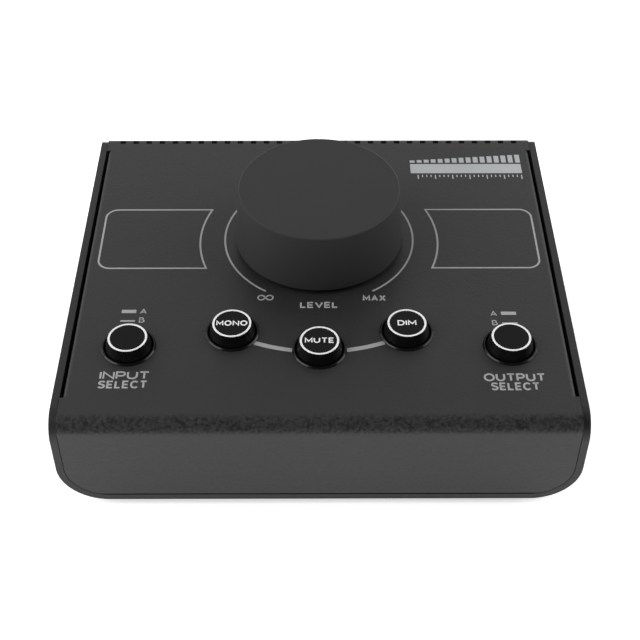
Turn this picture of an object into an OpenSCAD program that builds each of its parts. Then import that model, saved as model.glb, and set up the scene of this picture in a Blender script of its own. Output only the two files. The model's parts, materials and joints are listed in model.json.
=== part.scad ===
// Desktop monitor controller: a wedge-shaped metal box with one large volume knob,
// five push buttons on its sloping panel and a row of jack sockets at the back.
// Millimetres, +Z up, front face towards -Y.
// Origin: centre of the footprint, at the level that the feet stand on.
//
// Places on the panel are given as x (to the right), v (up the slope from the front
// crease) and n (out of the panel, 0 on its outer surface).

/* [Case] */
// Width over the side walls
case_w = 196.5; // [180:0.5:210]
// Length of the panel along its slope, from front face to rear face
panel_l = 172.9; // [165:0.1:180]
// Slope of the panel, in degrees
slope = 5; // [3:0.5:7]
// Height of the front face along the face, at right angles to the panel
front_h = 43.2; // [42:0.1:50]
// Wall of the base shell
shell_t = 2.8; // [2.6:0.1:3.2]
// Outer radius of the shell's lower corners
corner_r = 18; // [14:1:22]
// Sheet thickness of the cover
cover_t = 1.2; // [1:0.1:1.5]
// How far the cover stands above the edges of the side walls
cover_proud = 0.5; // [0.2:0.1:0.8]
// Width of the open slot along each side of the panel
slot_w = 1.2; // [1:0.1:2]
// Height of the feet
foot_h = 3; // [2:0.5:4]

/* [Volume knob] */
// Distance of the knob's axis up the slope
knob_v = 102.6; // [101:0.1:104]
// Knob radius at its top edge
knob_top_r = 32.4; // [31:0.1:33]
// Knob radius at its skirt
knob_skirt_r = 34.6; // [33.5:0.1:36]
// Height of the knob's top above the panel
knob_top_n = 26.8; // [26:0.1:29]
// Gap under the skirt
knob_gap = 2; // [0.8:0.1:2.5]

/* [Buttons] */
// Radius of the arc that the three middle buttons sit on, about the knob's axis
arc_r = 65; // [63:0.5:66]
// Angle between the middle button and its neighbours on that arc
arc_step = 31; // [29:0.5:33]
// Distance of the two select buttons from the centre line
select_x = 72.6; // [70:0.1:75]
// Distance of the two select buttons up the slope
select_v = 39.3; // [37:0.1:42]
// Radius of a cap where it enters the bezel
cap_r = 9; // [8.8:0.1:9.2]
// Outer radius of the white ring at the top of a cap
ring_r = 7.45; // [7.2:0.05:7.8]
// Height of a cap's top above the panel
cap_n = 5; // [4.5:0.1:6]
// Full travel of a button
press = 2.2; // [1:0.1:2.4]

/* [Sockets] */
// Height of the sockets' axes
jack_z = 30; // [29:0.5:31]
// Distance between neighbouring large sockets
jack_pitch = 20; // [19.5:0.1:20.2]
// Radius of a large socket's bore
jack_bore_r = 3.2; // [3.18:0.01:3.25]
// Radius of the small socket's bore
mini_bore_r = 1.8; // [1.78:0.01:1.85]

/* [Hidden] */
$fn = 96;

// Clearances: cover to side walls, cover to floor, round parts in their holes
seam = 0.25;
floor_seam = 0.6;
hair = 0.05;

// Case: the front crease is where the front face and the panel would meet
base_top = foot_h + shell_t;
jack_nose = 4;
front_bend_r = 5;
rear_bend_r = 4;
shell_front_r = 9;
shell_rear_r = 4.4;
front_reach = front_bend_r * (cos(slope) + sin(slope) - 1);
crease_y = -(front_reach + panel_l * cos(slope) + jack_nose) / 2;
crease_z = foot_h + front_h * cos(slope);
rear_y = crease_y + panel_l * cos(slope);
foot_line_y = crease_y + front_h * sin(slope);
cover_x = case_w / 2 - shell_t - seam;
cover_floor = base_top + floor_seam;
rear_inner_y = rear_y - cover_t;

// Side slots and the flanges beside them
slot_from_v = 13.3;
slot_to_v = 162.4;
panel_x = case_w / 2 - shell_t - slot_w;
edge_bend_r = 1.6;
flange_depth = 12;

// Row of vent slots where the panel turns into the rear bend: how far each one reaches
// forward of the bend, and the angle round the bend at which it ends
vent_count = 31;
vent_pitch = 5.9;
vent_w = 2.5;
vent_lead = 1.4;
vent_end_angle = 10;

// Base screws: x places of each row, distance of a row from the edge
base_screw_x = [-56, 0, 56];
base_screw_inset = 10;
lip_depth = 16;
lip_x = 72;

// Feet
foot_r = 8;
foot_x = 70;
foot_inset = 24;

// Boards
board_t = 1.6;
board_n = -17;
board_x = 82;
board_from_v = 25;
board_to_v = 120;
stud_r = 2.75;
studs = [for (x = [-1, 1]) each [[50 * x, 32], [78 * x, 70], [50 * x, 113]]];
jack_board_top = jack_z - 7.8;
jack_board_x = 88;
jack_board_from_y = rear_y - 44;
posts_x = [-76, 0, 76];
post_y = rear_y - 39;

// Fasteners: 3 mm machine screws
screw_r = 1.5;
head_r = 2.8;
head_h = 1.8;
socket_r = 1.15;

// Volume control
pot_w = 18;
pot_top_n = -3.2;
pot_bottom_n = -14.5;
bushing_r = 4.5;
bushing_top_n = 6.2;
shaft_r = 3;
shaft_top_n = 21;
hub_r = 6.5;
hub_from_n = 7.5;
nut_h = 2.4;
washer_h = 0.6;

// Switches
switch_w = 8.5;
switch_top_n = -8.7;
plunger_r = 2;
plunger_bottom_n = -12.5;

// Button bezels
bezel_inner_r = cap_r + 0.3;
bezel_sleeve_r = bezel_inner_r + 0.6;
bezel_flange_r = bezel_inner_r + 1.1;
bezel_h = 0.7;

// Large sockets
jack_w = 15.6;
jack_l = 26;
jack_thread_r = 4.76;
jack_bore_l = 30;
jack_nut_r = 7.3;

// Each button: name, x, v
BUTTONS = [
    ["source_select", -select_x, select_v],
    ["mono", -arc_r * sin(arc_step), knob_v - arc_r * cos(arc_step)],
    ["mute", 0, knob_v - arc_r],
    ["dim", arc_r * sin(arc_step), knob_v - arc_r * cos(arc_step)],
    ["monitor_select", select_x, select_v],
];

// Each large socket: name, x
JACKS = [
    for (i = [0:3])
        [str("source_", i < 2 ? "a" : "b", i % 2 == 0 ? "_left" : "_right", "_jack"), 6 + jack_pitch * i],
    for (i = [0:3])
        [str("monitor_", i < 2 ? "a" : "b", i % 2 == 0 ? "_left" : "_right", "_jack"), -78 + jack_pitch * i],
];
mini_x = 83;

// Each foot: name, x, y
FEET = [
    ["foot_front_left", -foot_x, foot_line_y + foot_inset],
    ["foot_front_right", foot_x, foot_line_y + foot_inset],
    ["foot_rear_left", -foot_x, rear_y - foot_inset],
    ["foot_rear_right", foot_x, rear_y - foot_inset],
];

// ---- Placing and drawing helpers ----

// Point of the side view, [y, z], for a place v up the slope and n out of the panel
function side(v, n) = [
    crease_y + v * cos(slope) - n * sin(slope),
    crease_z + v * sin(slope) + n * cos(slope),
];

// Height of the line that runs n above the panel, at a given y
function line_z(y, n) = side(0, n).y + (y - side(0, n).x) * tan(slope);

// Puts children at a place on the panel, their +Z along its outward normal
module on_panel(x = 0, v = 0, n = 0) {
    translate([0, crease_y, crease_z])
        rotate([slope, 0, 0])
            translate([x, v, n])
                children();
}

// Extrudes a drawing of X and Z along Y
module along_y(from, to) {
    translate([0, to, 0])
        rotate([90, 0, 0])
            linear_extrude(to - from)
                children();
}

// Extrudes a drawing of Y and Z along X
module along_x(from, to) {
    translate([from, 0, 0])
        rotate([90, 0, 90])
            linear_extrude(to - from)
                children();
}

module tube(outer_r, inner_r, h) {
    difference() {
        cylinder(r = outer_r, h = h);
        translate([0, 0, -1])
            cylinder(r = inner_r, h = h + 2);
    }
}

// Convex outline whose corners are rounded by true arcs; corners run anticlockwise. For each
// rounded corner, arcs holds where the arc starts, its centre and where it ends.
module rounded_outline(corners, radii) {
    count = len(corners);
    arcs = [
        for (i = [0:count - 1])
            let (
                here = corners[i],
                back = corners[(i + count - 1) % count] - here,
                ahead = corners[(i + 1) % count] - here,
                a = back / norm(back),
                b = ahead / norm(ahead),
                half = acos(a * b) / 2,
                middle = (a + b) / norm(a + b)
            )
            [here + a * radii[i] / tan(half), here + middle * radii[i] / sin(half),
             here + b * radii[i] / tan(half)],
    ];
    polygon([
        for (i = [0:count - 1])
            each radii[i] > 0 ? arcs[i] : [corners[i]],
    ]);
    for (i = [0:count - 1])
        if (radii[i] > 0)
            translate(arcs[i][1])
                circle(r = radii[i]);
}

// Six-sided drive socket, open downwards at z = 0
module drive_socket(depth) {
    translate([0, 0, -1])
        cylinder(r = socket_r, h = depth + 1, $fn = 6);
}

// Machine screw: shank up from z = 0, flat head below it
module screw(length, head = head_h) {
    cylinder(r = screw_r, h = length);
    translate([0, 0, -head])
        difference() {
            cylinder(r = head_r, h = head);
            drive_socket(0.7 * head);
        }
}

// Countersunk screw whose head ends flush at z = 0
module flush_screw(length) {
    difference() {
        union() {
            cylinder(r1 = head_r, r2 = screw_r, h = head_h);
            cylinder(r = screw_r, h = length);
        }
        drive_socket(0.7 * head_h);
    }
}

// ---- Case ----

// Inner outline of the U-shaped shell, shrunk by a gap
module shell_inside(gap) {
    x = case_w / 2 - shell_t - gap;
    floor_z = base_top + gap;
    r = corner_r - shell_t - gap;
    high = 100;
    rounded_outline([[-x, floor_z], [x, floor_z], [x, high], [-x, high]], [r, r, 0, 0]);
}

module shell_outside() {
    x = case_w / 2;
    high = 90;
    rounded_outline([[-x, foot_h], [x, foot_h], [x, high], [-x, high]], [corner_r, corner_r, 0, 0]);
}

// Side view of the box: the shell's edges, or the cover's outer and inner surfaces
module side_view(inset, sink, front_r, rear_r, bottom) {
    foot = side(inset, -front_h - 20);
    crease = side(inset, -sink);
    rear = [rear_y - inset, line_z(rear_y - inset, -sink)];
    intersection() {
        rounded_outline([foot, [rear.x, foot.y], rear, crease], [0, 0, rear_r, front_r]);
        translate([crease_y - 20, bottom])
            square([panel_l + 40, 100]);
    }
}

module base_shell() {
    color("#3a3b3c")
    difference() {
        intersection() {
            along_y(crease_y - 5, rear_y + 5)
                difference() {
                    shell_outside();
                    shell_inside(0);
                }
            along_x(-case_w, case_w)
                side_view(0, cover_proud, shell_front_r, shell_rear_r, foot_h - 1);
        }
        for (p = base_screw_places())
            translate([p.x, p.y, foot_h])
                screw_hole(head_h);
        for (f = FEET)
            translate([f[1], f[2], foot_h - 1])
                cylinder(r = screw_r + hair, h = shell_t + 2);
    }
}

// Clearance hole with a countersink that opens downwards
module screw_hole(sink) {
    translate([0, 0, -1])
        cylinder(r = screw_r + 2 * hair, h = 30);
    translate([0, 0, -hair])
        cylinder(r1 = head_r + 2 * hair, r2 = screw_r + 2 * hair, h = sink + hair);
}

function base_screw_places() = concat(
    [for (x = base_screw_x) [x, foot_line_y + base_screw_inset]],
    [for (x = base_screw_x) [x, rear_y - base_screw_inset]],
    [for (x = posts_x) [x, post_y]]
);

module base_screws() {
    color("#2b2b2c")
    for (p = base_screw_places())
        translate([p.x, p.y, foot_h])
            flush_screw(7.2);
}

module cover_sheet() {
    intersection() {
        along_x(-cover_x, cover_x)
            difference() {
                side_view(0, 0, front_bend_r, rear_bend_r, cover_floor);
                side_view(cover_t, cover_t, front_bend_r - cover_t, rear_bend_r - cover_t,
                          cover_floor - 1);
            }
        along_y(crease_y - 5, rear_y + 5)
            shell_inside(seam);
    }
}

// Quarter bend at the panel's side edge and the flange below it, drawn in x and n
module edge_section() {
    difference() {
        intersection() {
            circle(r = edge_bend_r);
            square(edge_bend_r);
        }
        circle(r = edge_bend_r - cover_t);
    }
    translate([edge_bend_r - cover_t, -flange_depth])
        square([cover_t, flange_depth]);
}

module top_cover() {
    color("#3b3c3d")
    difference() {
        union() {
            difference() {
                cover_sheet();
                for (s = [-1, 1])
                    on_panel(s * (panel_x - edge_bend_r + 5), slot_from_v, -5)
                        translate([-5, 0, 0])
                            cube([10, slot_to_v - slot_from_v, 10]);
            }
            for (s = [0, 1])
                mirror([s, 0, 0])
                    on_panel(panel_x - edge_bend_r, slot_to_v, -edge_bend_r)
                        rotate([90, 0, 0])
                            linear_extrude(slot_to_v - slot_from_v)
                                edge_section();
            cover_lips();
        }
        for (i = [0:vent_count - 1])
            on_panel((i - (vent_count - 1) / 2) * vent_pitch - vent_w / 2, panel_l - rear_bend_r,
                     -rear_bend_r)
                rotate([90, 0, 90])
                    linear_extrude(vent_w)
                        vent_wedge();
        for (b = BUTTONS)
            on_panel(b[1], b[2], -5)
                cylinder(r = bezel_sleeve_r + hair, h = 10);
        on_panel(0, knob_v, -5)
            cylinder(r = bushing_r + hair, h = 10);
        for (j = JACKS)
            translate([j[1], rear_y - 5, jack_z])
                rotate([-90, 0, 0])
                    cylinder(r = jack_thread_r + hair, h = 10);
        translate([mini_x, rear_y - 5, jack_z])
            rotate([-90, 0, 0])
                cylinder(r = 3 + hair, h = 10);
        for (p = base_screw_places())
            translate([p.x, p.y, 0])
                cylinder(r = screw_r + hair, h = 20);
    }
}

// Side view of a vent slot, drawn about the centre of the rear bend; its end is radial
module vent_wedge() {
    low = rear_bend_r - cover_t - 0.5;
    high = rear_bend_r + 1;
    polygon([
        [-vent_lead, low],
        [low * tan(vent_end_angle), low],
        [high * tan(vent_end_angle), high],
        [-vent_lead, high],
    ]);
}

// Inward lips at the foot of the front and rear faces, tapped for the base screws; each one
// starts inside the thickness of its face
module cover_lips() {
    for (y = [foot_line_y + cover_t / 3, rear_y - cover_t / 2 - lip_depth])
        translate([-lip_x, y, cover_floor])
            cube([2 * lip_x, lip_depth, cover_t]);
}

module foot(i) {
    color("#191919")
    translate([FEET[i][1], FEET[i][2], 0])
        difference() {
            union() {
                cylinder(r1 = foot_r - 0.6, r2 = foot_r, h = 0.6);
                translate([0, 0, 0.6])
                    cylinder(r = foot_r, h = foot_h - 0.6);
            }
            translate([0, 0, -1])
                cylinder(r = head_r + 0.4, h = 2.2);
            cylinder(r = screw_r + hair, h = foot_h + 1);
        }
}

module foot_screws() {
    shelf = 1.2;
    color("silver")
    for (f = FEET)
        translate([f[1], f[2], shelf])
            screw(base_top - shelf + 0.4, 0.8);
}

// ---- Boards ----

module stud_places() {
    for (p = studs)
        on_panel(p.x, p.y, 0)
            children();
}

module control_board() {
    color("#1f4a32")
    difference() {
        on_panel(-board_x, board_from_v, board_n - board_t)
            cube([2 * board_x, board_to_v - board_from_v, board_t]);
        stud_places()
            translate([0, 0, board_n - 5])
                cylinder(r = screw_r + 2 * hair, h = 10);
        for (b = BUTTONS)
            on_panel(b[1], b[2], board_n - 5)
                switch_pins(0.5, 10);
        on_panel(0, knob_v, board_n - 5)
            pot_pins(0.6, 10);
    }
}

module board_studs() {
    color("silver")
    stud_places()
        translate([0, 0, board_n])
            difference() {
                cylinder(r = stud_r, h = -board_n - cover_t);
                translate([0, 0, -1])
                    cylinder(r = screw_r + hair, h = 9);
            }
}

module board_screws() {
    color("silver")
    stud_places()
        translate([0, 0, board_n - board_t])
            screw(7);
}

// Two rows of terminals under a switch
module switch_pins(r, h) {
    for (x = [-2.5, 2.5], v = [-2, 0, 2])
        translate([x, v, 0])
            cylinder(r = r, h = h, $fn = 24);
}

module button_switch(i) {
    color("#d8d8d0")
    on_panel(BUTTONS[i][1], BUTTONS[i][2], 0)
        difference() {
            union() {
                translate([-switch_w / 2, -switch_w / 2, board_n])
                    cube([switch_w, switch_w, switch_top_n - board_n]);
                translate([0, 0, board_n - 3])
                    switch_pins(0.4, 4);
            }
            translate([0, 0, plunger_bottom_n - press - 0.5])
                cylinder(r = plunger_r + 0.3, h = 20);
        }
}

// Axial resistors standing just off the board on their bent leads
module attenuator_resistors() {
    color("#3f7fae")
    for (x = [-60:12:60])
        if (abs(x) > 20)
            on_panel(x, 80, board_n) {
                translate([0, -3, 1.6])
                    rotate([-90, 0, 0])
                        cylinder(r = 1.2, h = 6);
                for (s = [-1, 1])
                    translate([0, 4.6 * s, 0]) {
                        cylinder(r = 0.3, h = 1.6, $fn = 24);
                        translate([0, 0, 1.6])
                            sphere(r = 0.3, $fn = 24);
                    }
                translate([0, -4.6, 1.6])
                    rotate([-90, 0, 0])
                        cylinder(r = 0.3, h = 9.2, $fn = 24);
            }
}

// ---- Ribbon cable between the boards ----

header_w = 24;
header_v = board_to_v - 8;
header_n = board_n + 4.5;
ribbon_x = 24;
ribbon_w = 20;
ribbon_t = 1;
ribbon_r = 12;
ribbon_start = side(board_to_v + 1, header_n);
ribbon_centre = ribbon_start + ribbon_r * [sin(slope), -cos(slope)];
ribbon_end_y = ribbon_centre.x + ribbon_r;
jack_header_h = 8;

module control_header() {
    color("#202020")
    on_panel(ribbon_x - header_w / 2, header_v, board_n)
        cube([header_w, board_to_v + 1 - header_v, 9]);
}

module jack_header() {
    color("#202020")
    translate([ribbon_x - header_w / 2, ribbon_end_y - 4.5, jack_board_top])
        cube([header_w, 9, jack_header_h]);
}

module ribbon_cable() {
    reach = 40;
    fall = ribbon_centre.y - jack_board_top - jack_header_h;
    color("#8a8d90")
    along_x(ribbon_x - ribbon_w / 2, ribbon_x + ribbon_w / 2) {
        intersection() {
            translate(ribbon_centre)
                difference() {
                    circle(r = ribbon_r + ribbon_t / 2);
                    circle(r = ribbon_r - ribbon_t / 2);
                }
            polygon([
                ribbon_centre,
                ribbon_centre + reach * [1, 0],
                ribbon_centre + reach * [1, 1],
                ribbon_centre + reach * [-sin(slope), cos(slope)],
            ]);
        }
        translate([ribbon_end_y - ribbon_t / 2, ribbon_centre.y - fall])
            square([ribbon_t, fall]);
    }
}

// ---- Sockets and their board ----

module jack_board() {
    color("#1f4a32")
    difference() {
        translate([-jack_board_x, jack_board_from_y, jack_board_top - board_t])
            cube([2 * jack_board_x, rear_inner_y - 1 - jack_board_from_y, board_t]);
        for (x = posts_x)
            translate([x, post_y, 0])
                cylinder(r = screw_r + 2 * hair, h = 60);
    }
}

module jack_board_posts() {
    color("silver")
    for (x = posts_x)
        translate([x, post_y, base_top])
            tube(3, screw_r + hair, jack_board_top - board_t - base_top);
}

module jack_board_screws() {
    color("silver")
    for (x = posts_x)
        translate([x, post_y, jack_board_top])
            rotate([180, 0, 0])
                screw(7);
}

module jack(i) {
    color("#26282a")
    translate([JACKS[i][1], rear_inner_y, jack_z])
        difference() {
            union() {
                translate([-jack_w / 2, -jack_l, -jack_w / 2])
                    cube([jack_w, jack_l, jack_w]);
                rotate([-90, 0, 0])
                    cylinder(r = jack_thread_r, h = cover_t + jack_nose);
            }
            translate([0, cover_t + jack_nose + 1, 0])
                rotate([90, 0, 0])
                    cylinder(r = jack_bore_r, h = jack_bore_l + 1);
        }
}

module at_jacks(y) {
    for (j = JACKS)
        translate([j[1], y, jack_z])
            rotate([-90, 0, 0])
                children();
}

module jack_washers() {
    color("silver")
    at_jacks(rear_y)
        tube(7, jack_thread_r, 0.6);
}

module jack_nuts() {
    color("silver")
    at_jacks(rear_y + 0.6)
        difference() {
            intersection() {
                cylinder(r = jack_nut_r, h = 2.2, $fn = 6);
                cylinder(r1 = jack_nut_r, r2 = jack_nut_r - 0.5, h = 2.2);
            }
            translate([0, 0, -1])
                cylinder(r = jack_thread_r, h = 5);
        }
}

module mini_jack() {
    body_w = 8;
    body_l = 14;
    color("#26282a")
    translate([mini_x, rear_inner_y, jack_z])
        difference() {
            union() {
                translate([-body_w / 2, -body_l, jack_board_top - jack_z])
                    cube([body_w, body_l, jack_z - jack_board_top + 3.5]);
                rotate([-90, 0, 0])
                    cylinder(r = 3, h = cover_t + 0.8);
            }
            translate([0, cover_t + 1.8, 0])
                rotate([90, 0, 0])
                    cylinder(r = mini_bore_r, h = 14);
        }
}

// ---- Volume control ----

module pot_pins(r, h) {
    for (x = [-5, 0, 5], v = [-8, 8])
        translate([x, v, 0])
            cylinder(r = r, h = h, $fn = 24);
}

module pot_body() {
    color("#b9bcc0")
    on_panel(0, knob_v, 0)
        difference() {
            union() {
                translate([-pot_w / 2, -pot_w / 2, pot_bottom_n])
                    cube([pot_w, pot_w, pot_top_n - pot_bottom_n]);
                translate([0, 0, board_n - 3])
                    pot_pins(0.5, pot_bottom_n - board_n + 4);
            }
            translate([0, 0, pot_bottom_n + 1])
                cylinder(r = shaft_r + hair, h = 20);
        }
}

module pot_bushing() {
    color("#c9b26a")
    on_panel(0, knob_v, pot_top_n)
        difference() {
            union() {
                cylinder(r = 7, h = -pot_top_n - cover_t);
                cylinder(r = bushing_r, h = bushing_top_n - pot_top_n);
            }
            translate([0, 0, -1])
                cylinder(r = shaft_r + hair, h = 20);
        }
}

module pot_washer() {
    color("silver")
    on_panel(0, knob_v, 0)
        tube(8.5, bushing_r, washer_h);
}

module pot_nut() {
    color("silver")
    on_panel(0, knob_v, washer_h)
        difference() {
            cylinder(r = 8.1, h = nut_h, $fn = 6);
            translate([0, 0, -1])
                cylinder(r = bushing_r, h = nut_h + 2);
        }
}

// Shaft with a flat along its upper part
module pot_shaft() {
    color("silver")
    on_panel(0, knob_v, 0)
        difference() {
            translate([0, 0, pot_bottom_n + 1.5])
                cylinder(r = shaft_r, h = shaft_top_n - pot_bottom_n - 1.5);
            shaft_flat();
        }
}

module shaft_flat() {
    translate([-5, -shaft_r - 2, hub_from_n])
        cube([10, 3.5, 20]);
}

module knob_hub() {
    color("#c9a94f")
    on_panel(0, knob_v, 0)
        difference() {
            translate([0, 0, hub_from_n])
                cylinder(r = hub_r, h = shaft_top_n - hub_from_n + 1);
            difference() {
                translate([0, 0, hub_from_n - 1])
                    cylinder(r = shaft_r, h = shaft_top_n - hub_from_n + 1);
                shaft_flat();
            }
        }
}

// The knob's outside, drawn as radius and height: a slight taper with a rounded top edge
module knob_outline() {
    edge = 0.5;
    rounded_outline(
        [[0, knob_gap], [knob_skirt_r, knob_gap], [knob_top_r, knob_top_n], [0, knob_top_n]],
        [0, edge / 2, edge, 0]
    );
}

module knob_solid() {
    rotate_extrude()
        intersection() {
            knob_outline();
            square(100);
        }
}

module pointer_bar() {
    translate([-0.9, knob_top_r - 1, 4])
        cube([1.8, 6, knob_top_n - 7]);
}

module volume_knob() {
    roof = knob_top_n - 3.2;
    wall = 3;
    boss_r = hub_r + 3.5;
    color("#2e2f30")
    on_panel(0, knob_v, 0)
        difference() {
            knob_solid();
            rotate_extrude()
                polygon([
                    [boss_r, 0],
                    [knob_skirt_r - wall, 0],
                    [knob_top_r - wall, roof],
                    [boss_r, roof],
                ]);
            cylinder(r = boss_r + 1, h = hub_from_n);
            cylinder(r = hub_r, h = shaft_top_n + 1);
            pointer_bar();
        }
    color("#2e2f30")
    on_panel(0, knob_v, 0)
        for (a = [30:60:330])
            rotate([0, 0, a])
                translate([boss_r - 0.5, -0.75, hub_from_n + 6])
                    cube([knob_top_r - wall - boss_r + 1, 1.5, roof - hub_from_n - 5.5]);
}

module knob_pointer() {
    color("white")
    on_panel(0, knob_v, 0)
        intersection() {
            knob_solid();
            pointer_bar();
        }
}

// ---- Push buttons ----

module button_bezels() {
    lip = 0.45;
    sleeve = 3;
    color("#141414")
    for (b = BUTTONS)
        on_panel(b[1], b[2], 0)
            rotate_extrude()
                polygon([
                    [bezel_inner_r, -sleeve],
                    [bezel_sleeve_r, -sleeve],
                    [bezel_sleeve_r, 0],
                    [bezel_flange_r, 0],
                    [bezel_flange_r, bezel_h - lip],
                    [bezel_flange_r - lip, bezel_h],
                    [bezel_inner_r + 0.3, bezel_h],
                    [bezel_inner_r, bezel_h - 0.3],
                ]);
}

cap_skirt_n = -3.5;
cap_wall = 1.2;
cap_roof = 1.6;
cap_lip = 0.25;
ring_inner_r = 6.65;
ring_h = 0.9;
ring_proud = 0.05;
cap_boss_r = 3.4;
socket_top_n = 2.4;

module button_cap(i) {
    color("#0e0e0f")
    on_panel(BUTTONS[i][1], BUTTONS[i][2], 0)
        rotate_extrude()
            difference() {
                polygon([
                    [0, cap_skirt_n],
                    [cap_r, cap_skirt_n],
                    [cap_r, 0.4],
                    [ring_r + cap_lip, cap_n - 0.2],
                    [ring_r, cap_n - 0.1],
                    [ring_r, cap_n - ring_h],
                    [ring_inner_r, cap_n - ring_h],
                    [ring_inner_r, cap_n - 0.1],
                    [ring_inner_r - 0.1, cap_n],
                    [0, cap_n],
                ]);
                polygon([
                    [cap_boss_r, cap_skirt_n - 1],
                    [cap_r - cap_wall, cap_skirt_n - 1],
                    [cap_r - cap_wall, 0.6],
                    [ring_inner_r - cap_wall, cap_n - ring_h - cap_roof],
                    [cap_boss_r, cap_n - ring_h - cap_roof],
                ]);
                translate([-1, cap_skirt_n - 1])
                    square([plunger_r + 1, socket_top_n - cap_skirt_n + 1]);
            }
}

module button_ring(i) {
    top = cap_n + ring_proud;
    color("white")
    on_panel(BUTTONS[i][1], BUTTONS[i][2], 0)
        rotate_extrude()
            polygon([
                [ring_inner_r, cap_n - ring_h],
                [ring_r, cap_n - ring_h],
                [ring_r, top - 0.1],
                [ring_r - 0.1, top],
                [ring_inner_r + 0.1, top],
                [ring_inner_r, top - 0.1],
            ]);
}

module button_plunger(i) {
    color("#e6e2d4")
    on_panel(BUTTONS[i][1], BUTTONS[i][2], plunger_bottom_n)
        cylinder(r = plunger_r, h = socket_top_n - plunger_bottom_n);
}

// ---- Everything in its place ----

base_shell();
top_cover();
base_screws();
foot_screws();
button_bezels();
control_board();
board_studs();
board_screws();
attenuator_resistors();
control_header();
ribbon_cable();
jack_header();
jack_board();
jack_board_posts();
jack_board_screws();
mini_jack();
jack_washers();
jack_nuts();
pot_body();
pot_bushing();
pot_washer();
pot_nut();
pot_shaft();
knob_hub();
volume_knob();
knob_pointer();
for (i = [0:len(FEET) - 1])
    foot(i);
for (i = [0:len(JACKS) - 1])
    jack(i);
for (i = [0:len(BUTTONS) - 1]) {
    button_switch(i);
    button_plunger(i);
    button_cap(i);
    button_ring(i);
}
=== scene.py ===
"""Looks of the desktop monitor controller: materials, printed panel, light and camera."""

import json
import math

import bmesh
import bpy
from mathutils import Matrix, Quaternion, Vector


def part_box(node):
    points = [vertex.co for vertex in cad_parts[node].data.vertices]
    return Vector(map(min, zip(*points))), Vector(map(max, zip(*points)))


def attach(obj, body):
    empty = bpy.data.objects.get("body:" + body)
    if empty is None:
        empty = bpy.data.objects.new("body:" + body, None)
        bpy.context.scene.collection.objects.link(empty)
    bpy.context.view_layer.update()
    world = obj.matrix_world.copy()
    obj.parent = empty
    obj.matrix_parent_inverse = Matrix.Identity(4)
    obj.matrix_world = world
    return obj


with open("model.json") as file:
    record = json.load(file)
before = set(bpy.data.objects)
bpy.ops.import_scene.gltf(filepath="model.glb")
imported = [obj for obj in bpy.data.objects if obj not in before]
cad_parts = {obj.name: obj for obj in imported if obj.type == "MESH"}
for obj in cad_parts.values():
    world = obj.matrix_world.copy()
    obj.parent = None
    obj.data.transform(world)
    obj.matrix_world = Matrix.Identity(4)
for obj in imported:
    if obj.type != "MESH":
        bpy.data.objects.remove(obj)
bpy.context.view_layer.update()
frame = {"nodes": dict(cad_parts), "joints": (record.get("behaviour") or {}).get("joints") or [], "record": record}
MM = 0.001

# ---- The panel's own axes: x to the right, v up the slope from the front crease, n outwards ----

# The volume joint's axis points into the case: a positive turn is clockwise and louder
VOLUME = next(joint for joint in frame["joints"] if joint["name"] == "volume_turn")
KNOB_AXIS = -Vector(VOLUME["axis"]).normalized()
KNOB_FOOT = Vector(VOLUME["pos_m"])
KNOB_V = 102.6
X_AXIS = Vector((1, 0, 0))
V_AXIS = KNOB_AXIS.cross(X_AXIS)
CREASE = KNOB_FOOT - V_AXIS * KNOB_V * MM
PANEL = Matrix((
    (X_AXIS.x, V_AXIS.x, KNOB_AXIS.x, CREASE.x),
    (X_AXIS.y, V_AXIS.y, KNOB_AXIS.y, CREASE.y),
    (X_AXIS.z, V_AXIS.z, KNOB_AXIS.z, CREASE.z),
    (0, 0, 0, 1),
))

# The rear panel's axes: x to the left as the rear is looked at, z up, n outwards
REAR_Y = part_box("jack_washers")[0].y
REAR = Matrix((
    (-1, 0, 0, 0),
    (0, 0, 1, REAR_Y),
    (0, 1, 0, 0),
    (0, 0, 0, 1),
))

JACK_ENDS = [f"{use}_{pair}_{side}" for use in ("source", "monitor") for pair in "ab"
             for side in ("left", "right")]


def on_panel(x, v, n=0.0):
    """A point given in millimetres in the panel's axes, in metres in the frame."""
    return PANEL @ (Vector((x, v, n)) * MM)


# ---- Camera ----

def make_camera():
    """The photograph's viewpoint."""
    camera = bpy.data.objects.new("camera", bpy.data.cameras.new("camera"))
    bpy.context.scene.collection.objects.link(camera)
    camera.data.sensor_width = 36
    camera.data.lens = 71.18
    place = on_panel(-1.45, -297.0, 345.2)
    target = on_panel(0.25, 53.55)
    roll = Quaternion((0, 0, 1), math.radians(0.06))
    camera.location = place
    camera.rotation_euler = ((target - place).to_track_quat("-Z", "Y") @ roll).to_euler()
    bpy.context.scene.camera = camera


# ---- Materials ----

def shader(name):
    """A new material, its node tree and its Principled shader."""
    material = bpy.data.materials.new(name)
    material.use_nodes = True
    return material, material.node_tree, material.node_tree.nodes["Principled BSDF"]


def noise(tree, scale, detail=3.0, rough=0.5, stretch=(1, 1, 1)):
    """Noise in the object's own metres: scale is in grains per metre."""
    place = tree.nodes.new("ShaderNodeTexCoord")
    mapping = tree.nodes.new("ShaderNodeMapping")
    mapping.inputs["Scale"].default_value = stretch
    texture = tree.nodes.new("ShaderNodeTexNoise")
    texture.inputs["Scale"].default_value = scale
    texture.inputs["Detail"].default_value = detail
    texture.inputs["Roughness"].default_value = rough
    tree.links.new(place.outputs["Object"], mapping.inputs["Vector"])
    tree.links.new(mapping.outputs["Vector"], texture.inputs["Vector"])
    return texture.outputs["Fac"]


def spread(tree, factor, low, high):
    """The factor mapped from 0.3..0.7 to low..high."""
    node = tree.nodes.new("ShaderNodeMapRange")
    node.inputs["From Min"].default_value = 0.3
    node.inputs["From Max"].default_value = 0.7
    node.inputs["To Min"].default_value = low
    node.inputs["To Max"].default_value = high
    tree.links.new(factor, node.inputs["Value"])
    return node.outputs["Result"]


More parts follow.
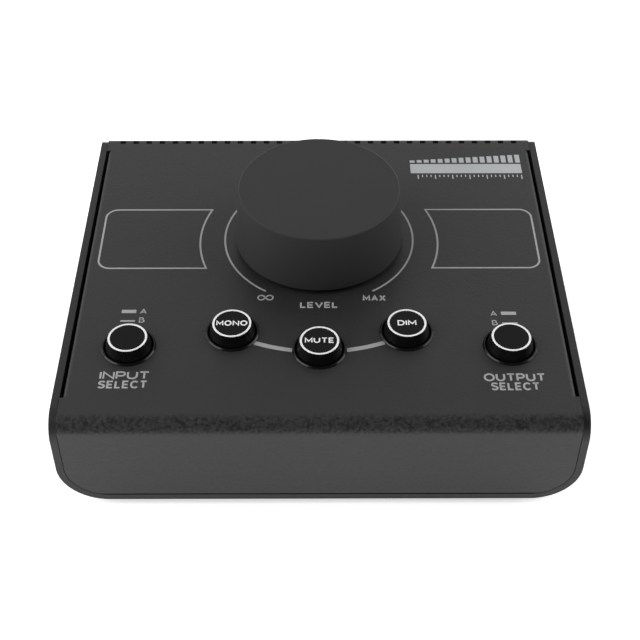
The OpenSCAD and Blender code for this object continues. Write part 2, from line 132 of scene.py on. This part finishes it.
def two_tones(tree, factor, dark, light):
    """The factor mapped from 0.3..0.7 to two colours."""
    ramp = tree.nodes.new("ShaderNodeValToRGB")
    ramp.color_ramp.elements[0].position = 0.3
    ramp.color_ramp.elements[0].color = (*dark, 1)
    ramp.color_ramp.elements[1].position = 0.7
    ramp.color_ramp.elements[1].color = (*light, 1)
    tree.links.new(factor, ramp.inputs["Fac"])
    return ramp.outputs["Color"]


def bump(tree, height, depth_mm):
    """A normal raised by the height, at most by depth_mm."""
    node = tree.nodes.new("ShaderNodeBump")
    node.inputs["Strength"].default_value = 1.0
    node.inputs["Distance"].default_value = depth_mm * MM
    tree.links.new(height, node.inputs["Height"])
    return node.outputs["Normal"]


def grey(level, tint=0.0):
    """A grey of that linear level, a little blue where tint is positive."""
    return (level * (1 - tint), level, level * (1 + tint))


PATCHES = 40.0
COAT_ROUGHNESS = 0.06


def surface(name, colour, vary, roughness, rough_vary, grain, depth_mm, metallic=0.0,
            specular=0.5, coat=0.0, stretch=(1, 1, 1)):
    """A procedural surface: slow colour patches, grain in the roughness and a fine bump."""
    material, tree, principled = shader(name)
    dark = tuple(c * (1 - vary) for c in colour)
    light = tuple(min(1.0, c * (1 + vary)) for c in colour)
    slow = noise(tree, PATCHES, 4.0)
    fine = noise(tree, grain, 4.0, 0.6, stretch)
    tree.links.new(two_tones(tree, slow, dark, light), principled.inputs["Base Color"])
    tree.links.new(spread(tree, fine, roughness - rough_vary, roughness + rough_vary),
                   principled.inputs["Roughness"])
    tree.links.new(bump(tree, fine, depth_mm), principled.inputs["Normal"])
    principled.inputs["Metallic"].default_value = metallic
    principled.inputs["Specular IOR Level"].default_value = specular
    principled.inputs["Coat Weight"].default_value = coat
    principled.inputs["Coat Roughness"].default_value = COAT_ROUGHNESS
    return material


BEND_FROM = 2.8 * MM
BEND_TO = 6.5 * MM
BEND_GRAIN = 750


def near_crease(tree):
    """1 on the front bend of the cover, fading to 0 on the flat faces beside it."""
    place = tree.nodes.new("ShaderNodeTexCoord")
    split = tree.nodes.new("ShaderNodeSeparateXYZ")
    flat = tree.nodes.new("ShaderNodeCombineXYZ")
    away = tree.nodes.new("ShaderNodeVectorMath")
    away.operation = "DISTANCE"
    away.inputs[1].default_value = (0, CREASE.y, CREASE.z)
    fade = tree.nodes.new("ShaderNodeMapRange")
    fade.interpolation_type = "SMOOTHSTEP"
    fade.inputs["From Min"].default_value = BEND_FROM
    fade.inputs["From Max"].default_value = BEND_TO
    fade.inputs["To Min"].default_value = 1
    fade.inputs["To Max"].default_value = 0
    tree.links.new(place.outputs["Object"], split.inputs["Vector"])
    tree.links.new(split.outputs["Y"], flat.inputs["Y"])
    tree.links.new(split.outputs["Z"], flat.inputs["Z"])
    tree.links.new(flat.outputs["Vector"], away.inputs[0])
    tree.links.new(away.outputs["Value"], fade.inputs["Value"])
    return fade.outputs["Result"]


def blend(tree, factor, flat, bent, colour=False):
    """The socket flat where the factor is 0, the socket bent where it is 1."""
    mix = tree.nodes.new("ShaderNodeMix")
    mix.data_type = "RGBA" if colour else "FLOAT"
    first = 6 if colour else 2
    tree.links.new(factor, mix.inputs[0])
    tree.links.new(flat, mix.inputs[first])
    tree.links.new(bent, mix.inputs[first + 1])
    return mix.outputs[2 if colour else 0]


def roughen_bend_and_paint_shade(material):
    """The paint on the front bend is coarser and duller than on the flat faces, and its base colour there is
    darkened as painted shade of the bend.
    """
    tree = material.node_tree
    principled = tree.nodes["Principled BSDF"]
    factor = near_crease(tree)
    coarse = noise(tree, BEND_GRAIN, 3.0, 0.65)
    # On the bend the roughness and bump are a real coarse paint texture; the base colour, a speckle between grey
    # 0.001 and 0.02, is darker than the flat paint as painted shade.
    for name, bent, colour in (
            ("Roughness", spread(tree, coarse, 1.0, 0.5), False),
            ("Base Color", two_tones(tree, coarse, grey(0.001), grey(0.02)), True)):
        socket = principled.inputs[name]
        tree.links.new(blend(tree, factor, socket.links[0].from_socket, bent, colour), socket)
    lumps = bump(tree, coarse, 0.35)
    tree.links.new(factor, lumps.node.inputs["Strength"])
    tree.links.new(principled.inputs["Normal"].links[0].from_socket, lumps.node.inputs["Normal"])
    tree.links.new(lumps, principled.inputs["Normal"])


# Name: colour, its variation, roughness, its variation, grains per metre, depth in mm, the rest
FINISHES = {
    "cover_paint": (grey(0.0158), 0.05, 0.46, 0.07, 900, 0.07, {"specular": 0.37}),
    "shell_paint": (grey(0.0125), 0.05, 0.46, 0.07, 900, 0.07, {"specular": 0.32}),
    "black_screws": (grey(0.02), 0.15, 0.4, 0.1, 1500, 0.01, {}),
    "steel_screws": (grey(0.55), 0.1, 0.32, 0.08, 900, 0.01, {"metallic": 1.0}),
    "bezel_gloss": (grey(0.004), 0.1, 0.22, 0.05, 900, 0.004, {"specular": 0.25}),
    "circuit_board": ((0.012, 0.11, 0.045), 0.2, 0.35, 0.08, 700, 0.01, {"coat": 0.3}),
    "plated_steel": (grey(0.62), 0.08, 0.24, 0.08, 1200, 0.006, {"metallic": 1.0}),
    "resistor_blue": ((0.08, 0.25, 0.42), 0.15, 0.35, 0.06, 900, 0.01, {}),
    "header_black": (grey(0.018), 0.15, 0.5, 0.08, 1200, 0.02, {}),
    "ribbon_grey": (grey(0.33), 0.12, 0.5, 0.06, 900, 0.05, {"stretch": (1, 0.02, 0.02)}),
    "socket_black": (grey(0.02), 0.15, 0.42, 0.08, 1500, 0.012, {}),
    "pot_casing": (grey(0.5), 0.1, 0.35, 0.1, 700, 0.01, {"metallic": 1.0}),
    "brass_bush": ((0.62, 0.45, 0.17), 0.1, 0.3, 0.08, 900, 0.01, {"metallic": 1.0}),
    "shaft_metal": (grey(0.6), 0.08, 0.3, 0.08, 900, 0.01,
                    {"metallic": 1.0, "stretch": (1, 1, 0.05)}),
    "knob_plastic": (grey(0.03), 0.04, 0.5, 0.05, 3000, 0.008, {"specular": 0.12}),
    "white_plastic": (grey(0.78), 0.02, 0.3, 0.05, 900, 0.004, {}),
    "foot_rubber": (grey(0.018), 0.15, 0.75, 0.1, 900, 0.05, {}),
    "switch_plastic": ((0.6, 0.6, 0.52), 0.08, 0.45, 0.06, 900, 0.01, {}),
    "plunger_plastic": ((0.7, 0.68, 0.58), 0.06, 0.4, 0.06, 900, 0.01, {}),
    "cap_gloss": (grey(0.003), 0.1, 0.15, 0.04, 900, 0.003, {"specular": 0.14}),
    "panel_ink": (grey(0.31), 0.06, 0.5, 0.06, 2600, 0.01, {}),
    "block_ink": (grey(0.38, 0.03), 0.06, 0.5, 0.06, 2600, 0.01, {}),
    "cap_ink": (grey(0.8), 0.03, 0.4, 0.05, 2600, 0.004, {}),
}


def make_materials():
    """A material for each of the record's slots, and three inks."""
    materials = {name: surface(name, *values, **rest)
                 for name, (*values, rest) in FINISHES.items()}
    roughen_bend_and_paint_shade(materials["cover_paint"])
    return materials


def paint_nodes(materials):
    """Gives each CAD node the material of its slot."""
    slots = {part["node"]: part["material_slot"] for part in frame["record"]["subparts"]}
    for name, node in frame["nodes"].items():
        for slot in node.material_slots:
            slot.material = materials[slots[name]]


# ---- Flat printed marks: thin closed prisms that stand a hair above the surface ----

INK_LOW = -0.02
INK_HIGH = 0.03
MITRE_LIMIT = 0.6


def finish_print(name, mesh_maker, body, material, basis):
    """Links a mesh drawn in millimetres in a surface's axes, and sets its body and slot."""
    mesh = bpy.data.meshes.new(name)
    maker = bmesh.new()
    mesh_maker(maker)
    bmesh.ops.recalc_face_normals(maker, faces=maker.faces)
    maker.to_mesh(mesh)
    maker.free()
    mesh.transform(basis @ Matrix.Scale(MM, 4))
    mesh.materials.append(material)
    piece = bpy.data.objects.new(name, mesh)
    bpy.context.scene.collection.objects.link(piece)
    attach(piece, body)


def stroke_sides(points, width, closed):
    """Points to the left and right of a path, mitred at its corners."""
    count = len(points)
    left, right = [], []
    for i, point in enumerate(points):
        before = points[i - 1] if closed or i > 0 else point
        after = points[(i + 1) % count] if closed or i < count - 1 else point
        one = (point - before).normalized() if point != before else (after - point).normalized()
        two = (after - point).normalized() if point != after else one
        normal = Vector((-one.y - two.y, one.x + two.x)).normalized()
        reach = width / 2 / max(MITRE_LIMIT, normal.dot(Vector((-one.y, one.x))))
        left.append(point + normal * reach)
        right.append(point - normal * reach)
    return left, right


def strokes(name, paths, width, body, material, basis=PANEL, level=0.0):
    """Printed lines of even width along paths in millimetres, each (points, closed)."""
    def build(maker):
        for points, closed in paths:
            left, right = stroke_sides([Vector(p) for p in points], width, closed)
            rows = []
            for n in (level + INK_LOW, level + INK_HIGH):
                rows.append([maker.verts.new((p.x, p.y, n)) for p in left])
                rows.append([maker.verts.new((p.x, p.y, n)) for p in right])
            count = len(left)
            low_left, low_right, high_left, high_right = rows
            for i in range(count if closed else count - 1):
                j = (i + 1) % count
                maker.faces.new((high_left[i], high_left[j], high_right[j], high_right[i]))
                maker.faces.new((low_left[i], low_right[i], low_right[j], low_left[j]))
                maker.faces.new((low_left[i], low_left[j], high_left[j], high_left[i]))
                maker.faces.new((low_right[i], high_right[i], high_right[j], low_right[j]))
            if not closed:
                for i in (0, count - 1):
                    maker.faces.new((low_left[i], high_left[i], high_right[i], low_right[i]))

    finish_print(name, build, body, material, basis)


def stroke(name, points, width, material, closed=False):
    """One printed line on the panel."""
    strokes(name, [(points, closed)], width, "chassis", material)


def bars(name, boxes, body, material, basis=PANEL):
    """Printed rectangles, each (x from, x to, v from, v to)."""
    def build(maker):
        for x0, x1, v0, v1 in boxes:
            corners = [(x0, v0), (x1, v0), (x1, v1), (x0, v1)]
            low = [maker.verts.new((x, v, INK_LOW)) for x, v in corners]
            high = [maker.verts.new((x, v, INK_HIGH)) for x, v in corners]
            maker.faces.new(low)
            maker.faces.new(high)
            for i in range(4):
                j = (i + 1) % 4
                maker.faces.new((low[i], low[j], high[j], high[i]))

    finish_print(name, build, body, material, basis)


def rounded(corners, radii, steps=8):
    """A closed path whose corners are rounded."""
    path = []
    count = len(corners)
    for i, corner in enumerate(corners):
        here = Vector(corner)
        if radii[i] == 0:
            path.append(here)
            continue
        a = (Vector(corners[i - 1]) - here).normalized()
        b = (Vector(corners[(i + 1) % count]) - here).normalized()
        half = a.angle(b) / 2
        reach = radii[i] / math.tan(half)
        centre = here + (a + b).normalized() * radii[i] / math.sin(half)
        first, last = here + a * reach - centre, here + b * reach - centre
        turn = first.angle_signed(last)
        for k in range(steps + 1):
            angle = -turn * k / steps
            path.append(centre + Vector((
                first.x * math.cos(angle) - first.y * math.sin(angle),
                first.x * math.sin(angle) + first.y * math.cos(angle),
            )))
    return path


def ellipse(x, y, rx, ry, start, end, steps=14):
    """Points along an ellipse; angles in degrees, anticlockwise from +x."""
    return [
        (x + rx * math.cos(math.radians(start + (end - start) * i / steps)),
         y + ry * math.sin(math.radians(start + (end - start) * i / steps)))
        for i in range(steps + 1)
    ]


def arc(centre, radius, start, end, steps=96):
    """Points along an arc of a circle."""
    return ellipse(*centre, radius, radius, start, end, steps)


# Letters drawn as strokes: width, then paths as (points, closed), for a cap height of 1
LETTERS = {
    "A": (1.0, [([(0, 0), (0.5, 1), (1.0, 0)], False), ([(0.17, 0.3), (0.83, 0.3)], False)]),
    "B": (0.8, [([(0, 0.5), (0, 0), *ellipse(0.52, 0.26, 0.28, 0.26, -90, 90), (0, 0.52)],
                 False),
                ([(0, 0.5), (0, 1), *ellipse(0.44, 0.76, 0.2, 0.24, 90, -90), (0, 0.52)],
                 False)]),
    "C": (0.9, [(ellipse(0.5, 0.5, 0.5, 0.5, 42, 318, 24), False)]),
    "D": (0.9, [([(0, 0), *ellipse(0.4, 0.5, 0.5, 0.5, -90, 90, 20), (0, 1)], True)]),
    "E": (0.72, [([(0.72, 1), (0, 1), (0, 0), (0.72, 0)], False),
                 ([(0, 0.5), (0.65, 0.5)], False)]),
    "I": (0.0, [([(0, 0), (0, 1)], False)]),
    "L": (0.66, [([(0, 1), (0, 0), (0.66, 0)], False)]),
    "M": (1.1, [([(0, 0), (0, 1), (0.55, 0.28), (1.1, 1), (1.1, 0)], False)]),
    "N": (1.0, [([(0, 0), (0, 1), (1.0, 0), (1.0, 1)], False)]),
    "O": (1.1, [(ellipse(0.55, 0.5, 0.55, 0.5, 0, 345, 23), True)]),
    "P": (0.8, [([(0, 0), (0, 1), *ellipse(0.5, 0.71, 0.3, 0.29, 90, -90), (0, 0.42)], False)]),
    "R": (0.8, [([(0, 0), (0, 1), *ellipse(0.5, 0.71, 0.3, 0.29, 90, -90), (0, 0.42)], False),
                ([(0.4, 0.42), (0.8, 0)], False)]),
    "S": (0.8, [([*ellipse(0.42, 0.75, 0.38, 0.25, 20, 220, 16),
                  *ellipse(0.38, 0.25, 0.4, 0.25, 50, -160, 16)], False)]),
    "T": (0.86, [([(0, 1), (0.86, 1)], False), ([(0.43, 1), (0.43, 0)], False)]),
    "U": (0.9, [([(0, 1), *ellipse(0.45, 0.42, 0.45, 0.42, 180, 360, 18), (0.9, 1)], False)]),
    "V": (0.96, [([(0, 1), (0.48, 0), (0.96, 1)], False)]),
    "X": (0.92, [([(0, 0), (0.92, 1)], False), ([(0, 1), (0.92, 0)], False)]),
    " ": (0.4, []),
}
LETTER_GAP = 0.38


def label(name, text, box, body, material, basis=PANEL, level=0.0, weight=0.72):
    """A printed word that fills box = (x from, x to, v from, v to); weight is the line's width."""
    height = box[3] - box[2] - weight
    gap = weight + LETTER_GAP
    drawn = sum(LETTERS[letter][0] for letter in text)
    scale = (box[1] - box[0] - weight - gap * (len(text) - 1)) / drawn
    paths = []
    x = box[0] + weight / 2
    for letter in text:
        width, shapes = LETTERS[letter]
        for points, closed in shapes:
            paths.append(([(x + px * scale, box[2] + weight / 2 + py * height)
                           for px, py in points], closed))
        x += width * scale + gap
    strokes(name, paths, weight, body, material, basis, level)


# Sizes on the panel in millimetres
KNOB_CENTRE = (0.0, KNOB_V)
LINE = 0.75
DIAL_R = 39.0
DIAL_GAP = 33.0
LINK_R = 66.2
LINK_W = 2.0
FIELD_R = 49.2
FIELD_CORNER_R = 5
FIELD_CENTRE = (0.0, KNOB_V - 1.2)


def print_dial(ink):
    """The arc round the knob, its end marks and the arcs that link the middle buttons."""
    stroke("print_dial_arc", arc(KNOB_CENTRE, DIAL_R, -90 + DIAL_GAP, 270 - DIAL_GAP), LINE,
           ink)
    for side, first, last in (("left", -112.0, -99.0), ("right", -81.0, -68.0)):
        stroke(f"print_link_{side}", arc(KNOB_CENTRE, LINK_R, first, last, 24), LINK_W, ink)
    centre, lobe, apart = (-21.3, 66.2), 1.3, 1.65
    lean = math.degrees(math.acos(lobe / apart))
    right = ellipse(centre[0] + apart, centre[1], lobe, lobe, 180 - lean, lean - 180, 28)
    left = ellipse(centre[0] - apart, centre[1], lobe, lobe, lean, 360 - lean, 28)
    stroke("print_infinity", right + left, 0.6, ink, closed=True)
    label("print_max", "MAX", (17.2, 26.3, 64.2, 67.6), "chassis", ink)
    label("print_level", "LEVEL", (-7.6, 7.4, 60.3, 63.7), "chassis", ink)


def print_fields(ink):
    """The two outlined fields left and right of the knob, each with one side on an arc."""
    low, high, outer = 83.6, 120.6, 90.0
    for side, name in ((-1, "left"), (1, "right")):
        swing = [math.degrees(math.asin((v - FIELD_CENTRE[1]) / FIELD_R)) for v in (low, high)]
        inner = arc(FIELD_CENTRE, FIELD_R, swing[0], swing[1], 24)
        corners = [(side * x, v) for x, v in inner] + [(side * outer, high), (side * outer, low)]
        radii = [0] * len(inner) + [FIELD_CORNER_R] * 2
        stroke(f"print_field_{name}", rounded(corners, radii), LINE, ink, closed=True)


def print_selects(ink):
    """The labels and the A/B marks of the two select buttons."""
    bars("print_source_marks", [(-77.3, -71.6, 57.6, 59.4), (-77.3, -71.6, 52.8, 53.6)],
         "chassis", ink)
    label("print_source_a", "A", (-70.1, -67.5, 57.2, 60.0), "chassis", ink, weight=0.5)
    label("print_source_b", "B", (-70.1, -67.9, 52.3, 55.1), "chassis", ink, weight=0.45)
    label("print_source_line_1", "INPUT", (-81.9, -63.3, 22.4, 26.4), "chassis", ink, weight=0.75)
    label("print_source_line_2", "SELECT", (-82.0, -63.7, 17.8, 21.7), "chassis", ink,
          weight=0.75)
    bars("print_monitor_marks", [(71.0, 76.9, 56.2, 58.0), (71.0, 76.9, 51.2, 52.0)],
         "chassis", ink)
    label("print_monitor_a", "A", (66.8, 69.4, 55.6, 58.4), "chassis", ink, weight=0.5)
    label("print_monitor_b", "B", (67.0, 69.2, 50.5, 53.3), "chassis", ink, weight=0.45)
    label("print_monitor_line_1", "OUTPUT", (61.0, 84.0, 21.0, 25.0), "chassis", ink, weight=0.75)
    label("print_monitor_line_2", "SELECT", (63.3, 81.4, 16.5, 20.4), "chassis", ink, weight=0.75)


def print_corner(ink):
    """A plain bar with a row of rising level steps above it and fine ticks below."""
    first, last = 40.6, 89.7
    bars("print_corner_bar", [(first, last, 145.6, 152.2)], "chassis", ink)
    steps = 16
    pitch = (last - first + 1.0) / steps
    bars("print_corner_steps",
         [(first + pitch * i, first + pitch * (i + 1) - 1.0, 153.2, 154.8 + 0.27 * i)
          for i in range(steps)],
         "chassis", ink)
    ticks = 25
    space = (last - first - 3.6) / (ticks - 1)
    bars("print_corner_ticks",
         [(first + 2.9 + space * i, first + 3.4 + space * i, 141.6 if i % 4 == 0 else 142.9, 144.4)
          for i in range(ticks)],
         "chassis", ink)


CAP_TOP = 5.0
CAP_WORD_WIDTHS = {"mono": 11.9, "mute": 11.1, "dim": 7.2}


def print_caps(ink):
    """The words on the three middle buttons."""
    for name, width in CAP_WORD_WIDTHS.items():
        low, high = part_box(f"{name}_ring")
        middle = PANEL.inverted() @ ((low + high) / 2)
        x, v = middle.x / MM, middle.y / MM
        label(f"print_{name}", name.upper(), (x - width / 2, x + width / 2, v - 1.4, v + 1.4),
              f"{name}_button", ink, level=CAP_TOP, weight=0.52)


def print_rear(ink):
    """Letters over the sockets, and over each pair a word with a straight line piece on either side of it."""
    for end in JACK_ENDS:
        low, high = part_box(f"{end}_jack")
        x = -(low.x + high.x) / 2 / MM
        z = (low.z + high.z) / 2 / MM
        letter = "L" if end.endswith("left") else "R"
        label(f"print_{end}", letter, (x - 1.1, x + 1.1, z + 9.6, z + 12.6), "chassis", ink, REAR,
              weight=0.45)
    for use, pair, word in (("source", "a", "IN A"), ("source", "b", "IN B"),
                            ("monitor", "a", "OUT A"), ("monitor", "b", "OUT B")):
        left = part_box(f"{use}_{pair}_left_jack")
        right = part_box(f"{use}_{pair}_right_jack")
        x = -(left[0].x + right[1].x) / 2 / MM
        z = (left[0].z + left[1].z) / 2 / MM
        half = 1.35 * len(word)
        label(f"print_{use}_{pair}", word, (x - half, x + half, z + 14.2, z + 17.9), "chassis",
              ink, REAR, weight=0.45)
        low, high = z + 15.9, z + 16.3
        bars(f"print_{use}_{pair}_line",
             [(x - 17, x - half - 1.5, low, high), (x + half + 1.5, x + 17, low, high)],
             "chassis", ink, REAR)


# ---- Light and floor ----

def ramp_of(tree, value, stops):
    """Grey levels at places along the value, blended between them."""
    node = tree.nodes.new("ShaderNodeValToRGB")
    ramp = node.color_ramp
    ramp.elements[0].position, ramp.elements[1].position = stops[0][0], stops[-1][0]
    for position, _ in stops[1:-1]:
        ramp.elements.new(position)
    for element, (_, level) in zip(ramp.elements, stops):
        element.color = (level, level, level, 1)
    tree.links.new(value, node.inputs["Fac"])
    return node.outputs["Color"]


def make_world():
    """A room that is bright low behind the object and dim overhead and in front."""
    world = bpy.data.worlds.new("room")
    world.use_nodes = True
    tree = world.node_tree
    place = tree.nodes.new("ShaderNodeTexCoord")
    split = tree.nodes.new("ShaderNodeSeparateXYZ")
    tree.links.new(place.outputs["Generated"], split.inputs["Vector"])
    back = ramp_of(tree, split.outputs["Z"], ((0.0, 1.7), (0.4, 1.2), (0.66, 0.78), (0.84, 0.7),
                                              (0.95, 0.12), (1.0, 0.03)))
    front = ramp_of(tree, split.outputs["Z"], ((0.0, 1.0), (0.06, 1.0), (0.16, 0.25), (0.35, 0.08),
                                               (1.0, 0.02)))
    side = tree.nodes.new("ShaderNodeMapRange")
    side.interpolation_type = "SMOOTHSTEP"
    side.inputs["From Min"].default_value = -0.1
    side.inputs["From Max"].default_value = 0.35
    tree.links.new(split.outputs["Y"], side.inputs["Value"])
    mix = tree.nodes.new("ShaderNodeMix")
    mix.data_type = "RGBA"
    tree.links.new(side.outputs["Result"], mix.inputs[0])
    tree.links.new(front, mix.inputs[6])
    tree.links.new(back, mix.inputs[7])
    tree.links.new(mix.outputs[2], tree.nodes["Background"].inputs["Color"])
    tree.nodes["Background"].inputs["Strength"].default_value = 1.0
    bpy.context.scene.world = world


def softbox(name, place, power):
    """A lamp one metre square that faces the object."""
    data = bpy.data.lights.new(name, "AREA")
    data.shape = "RECTANGLE"
    data.size = data.size_y = 1.0
    data.energy = power
    lamp = bpy.data.objects.new(name, data)
    bpy.context.scene.collection.objects.link(lamp)
    lamp.location = place
    lamp.rotation_euler = (-Vector(place)).to_track_quat("-Z", "Y").to_euler()


def make_floor():
    """A sheet of pale paper under the object, a hair below its feet."""
    half, level = 4.0, -0.0002
    corners = ((-half, -half), (half, -half), (half, half), (-half, half))
    mesh = bpy.data.meshes.new("floor")
    mesh.from_pydata([(x, y, level) for x, y in corners], [], [(0, 1, 2, 3)])
    material, tree, principled = shader("floor_paper")
    tone = two_tones(tree, noise(tree, 6.0), grey(0.9), grey(0.93))
    tree.links.new(tone, principled.inputs["Base Color"])
    principled.inputs["Roughness"].default_value = 0.9
    principled.inputs["Specular IOR Level"].default_value = 0.1
    tree.links.new(tone, principled.inputs["Emission Color"])
    principled.inputs["Emission Strength"].default_value = 0.62
    mesh.materials.append(material)
    floor = bpy.data.objects.new("floor", mesh)
    bpy.context.scene.collection.objects.link(floor)


# ---- The scene ----

make_camera()
MATERIALS = make_materials()
paint_nodes(MATERIALS)
print_dial(MATERIALS["panel_ink"])
print_fields(MATERIALS["panel_ink"])
print_selects(MATERIALS["panel_ink"])
print_corner(MATERIALS["block_ink"])
print_caps(MATERIALS["cap_ink"])
print_rear(MATERIALS["panel_ink"])
make_floor()
make_world()
softbox("left_softbox", (-0.92, -0.3, 0.75), 13)
softbox("right_softbox", (1.0, 0.05, 0.8), 9)
bpy.context.scene.view_settings.view_transform = "Standard"
